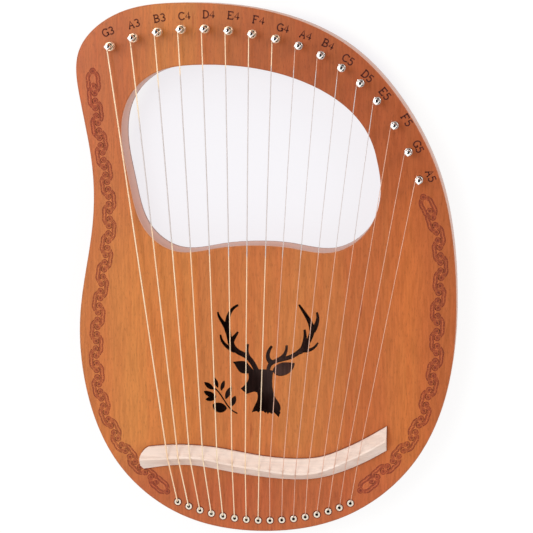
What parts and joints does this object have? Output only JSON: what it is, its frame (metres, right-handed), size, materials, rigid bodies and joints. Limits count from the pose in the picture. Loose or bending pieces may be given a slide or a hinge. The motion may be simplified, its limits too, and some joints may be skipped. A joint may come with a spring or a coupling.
{
  "type": "lyre",
  "caption": "Hollow wooden lyre harp with a finger window, carved sound hole, curved bridge and strings run from a tail row of ferrules to turning pins.",
  "frame": {"origin": "centre of the plan outline on the flat back, which lies on z = 0", "axes": "+Z out of the soundboard towards the strings, +Y from the tail ferrules to the tuning pins, +X towards the treble side"},
  "size_m": [0.3, 0.4201, 0.049],
  "materials": {
    "soundboard_wood": "satin varnished reddish brown wood with fine vertical grain",
    "back_wood": "satin varnished reddish brown wood",
    "rim_wood": "satin varnished pinkish tan wood",
    "window_wood": "smooth satin pinkish tan wood",
    "block_wood": "bare sawn hardwood",
    "brace_wood": "bare planed softwood",
    "bridge_maple": "pale sanded maple",
    "ferrule_nickel": "polished nickel",
    "pin_nickel": "bright nickel plated steel",
    "wound_string": "pale bronze winding",
    "plain_string": "plain steel wire",
    "brass": "turned brass"
  },
  "bodies": {
    "lyre_body": {"soundboard": "soundboard_wood", "back_plate": "back_wood", "outer_rim": "rim_wood", "window_rim": "window_wood", "pin_block": "block_wood", "tail_block": "block_wood", "soundboard_braces": "brace_wood", "back_braces": "brace_wood", "bridge": "bridge_maple", "string_ferrules": "ferrule_nickel", "rear_string_cups": "ferrule_nickel", "string_ball_ends": "brass", "string_g3": "wound_string", "string_a3": "wound_string", "string_b3": "wound_string", "string_c4": "wound_string", "string_d4": "wound_string", "string_e4": "wound_string", "string_f4": "wound_string", "string_g4": "wound_string", "string_a4": "plain_string", "string_b4": "plain_string", "string_c5": "plain_string", "string_d5": "plain_string", "string_e5": "plain_string", "string_f5": "plain_string", "string_g5": "plain_string", "string_a5": "plain_string"},
    "pin_g3": {"tuning_pin_g3": "pin_nickel", "winding_g3": "wound_string"},
    "pin_a3": {"tuning_pin_a3": "pin_nickel", "winding_a3": "wound_string"},
    "pin_b3": {"tuning_pin_b3": "pin_nickel", "winding_b3": "wound_string"},
    "pin_c4": {"tuning_pin_c4": "pin_nickel", "winding_c4": "wound_string"},
    "pin_d4": {"tuning_pin_d4": "pin_nickel", "winding_d4": "wound_string"},
    "pin_e4": {"tuning_pin_e4": "pin_nickel", "winding_e4": "wound_string"},
    "pin_f4": {"tuning_pin_f4": "pin_nickel", "winding_f4": "wound_string"},
    "pin_g4": {"tuning_pin_g4": "pin_nickel", "winding_g4": "wound_string"},
    "pin_a4": {"tuning_pin_a4": "pin_nickel", "winding_a4": "plain_string"},
    "pin_b4": {"tuning_pin_b4": "pin_nickel", "winding_b4": "plain_string"},
    "pin_c5": {"tuning_pin_c5": "pin_nickel", "winding_c5": "plain_string"},
    "pin_d5": {"tuning_pin_d5": "pin_nickel", "winding_d5": "plain_string"},
    "pin_e5": {"tuning_pin_e5": "pin_nickel", "winding_e5": "plain_string"},
    "pin_f5": {"tuning_pin_f5": "pin_nickel", "winding_f5": "plain_string"},
    "pin_g5": {"tuning_pin_g5": "pin_nickel", "winding_g5": "plain_string"},
    "pin_a5": {"tuning_pin_a5": "pin_nickel", "winding_a5": "plain_string"}
  },
  "joints": [
    {"name": "tuning_pin_g3_turn", "type": "hinge", "parent": "lyre_body", "child": "pin_g3", "pos_m": [-0.121, 0.1762, 0.03], "axis": [0, 0, 1], "range_deg": [-180, 1080]},
    {"name": "tuning_pin_a3_turn", "type": "hinge", "parent": "lyre_body", "child": "pin_a3", "pos_m": [-0.10249, 0.1829, 0.03], "axis": [0, 0, 1], "range_deg": [-180, 1080]},
    {"name": "tuning_pin_b3_turn", "type": "hinge", "parent": "lyre_body", "child": "pin_b3", "pos_m": [-0.08332, 0.18739, 0.03], "axis": [0, 0, 1], "range_deg": [-180, 1080]},
    {"name": "tuning_pin_c4_turn", "type": "hinge", "parent": "lyre_body", "child": "pin_c4", "pos_m": [-0.06486, 0.18961, 0.03], "axis": [0, 0, 1], "range_deg": [-180, 1080]},
    {"name": "tuning_pin_d4_turn", "type": "hinge", "parent": "lyre_body", "child": "pin_d4", "pos_m": [-0.04627, 0.18996, 0.03], "axis": [0, 0, 1], "range_deg": [-180, 1080]},
    {"name": "tuning_pin_e4_turn", "type": "hinge", "parent": "lyre_body", "child": "pin_e4", "pos_m": [-0.02772, 0.18871, 0.03], "axis": [0, 0, 1], "range_deg": [-180, 1080]},
    {"name": "tuning_pin_f4_turn", "type": "hinge", "parent": "lyre_body", "child": "pin_f4", "pos_m": [-0.00929, 0.18618, 0.03], "axis": [0, 0, 1], "range_deg": [-180, 1080]},
    {"name": "tuning_pin_g4_turn", "type": "hinge", "parent": "lyre_body", "child": "pin_g4", "pos_m": [0.00894, 0.18253, 0.03], "axis": [0, 0, 1], "range_deg": [-180, 1080]},
    {"name": "tuning_pin_a4_turn", "type": "hinge", "parent": "lyre_body", "child": "pin_a4", "pos_m": [0.0268, 0.17735, 0.03], "axis": [0, 0, 1], "range_deg": [-180, 1080]},
    {"name": "tuning_pin_b4_turn", "type": "hinge", "parent": "lyre_body", "child": "pin_b4", "pos_m": [0.04393, 0.17014, 0.03], "axis": [0, 0, 1], "range_deg": [-180, 1080]},
    {"name": "tuning_pin_c5_turn", "type": "hinge", "parent": "lyre_body", "child": "pin_c5", "pos_m": [0.05988, 0.16059, 0.03], "axis": [0, 0, 1], "range_deg": [-180, 1080]},
    {"name": "tuning_pin_d5_turn", "type": "hinge", "parent": "lyre_body", "child": "pin_d5", "pos_m": [0.07438, 0.14896, 0.03], "axis": [0, 0, 1], "range_deg": [-180, 1080]},
    {"name": "tuning_pin_e5_turn", "type": "hinge", "parent": "lyre_body", "child": "pin_e5", "pos_m": [0.08727, 0.13557, 0.03], "axis": [0, 0, 1], "range_deg": [-180, 1080]},
    {"name": "tuning_pin_f5_turn", "type": "hinge", "parent": "lyre_body", "child": "pin_f5", "pos_m": [0.10084, 0.1169, 0.03], "axis": [0, 0, 1], "range_deg": [-180, 1080]},
    {"name": "tuning_pin_g5_turn", "type": "hinge", "parent": "lyre_body", "child": "pin_g5", "pos_m": [0.11174, 0.09656, 0.03], "axis": [0, 0, 1], "range_deg": [-180, 1080]},
    {"name": "tuning_pin_a5_turn", "type": "hinge", "parent": "lyre_body", "child": "pin_a5", "pos_m": [0.12013, 0.07505, 0.03], "axis": [0, 0, 1], "range_deg": [-180, 1080]}
  ]
}
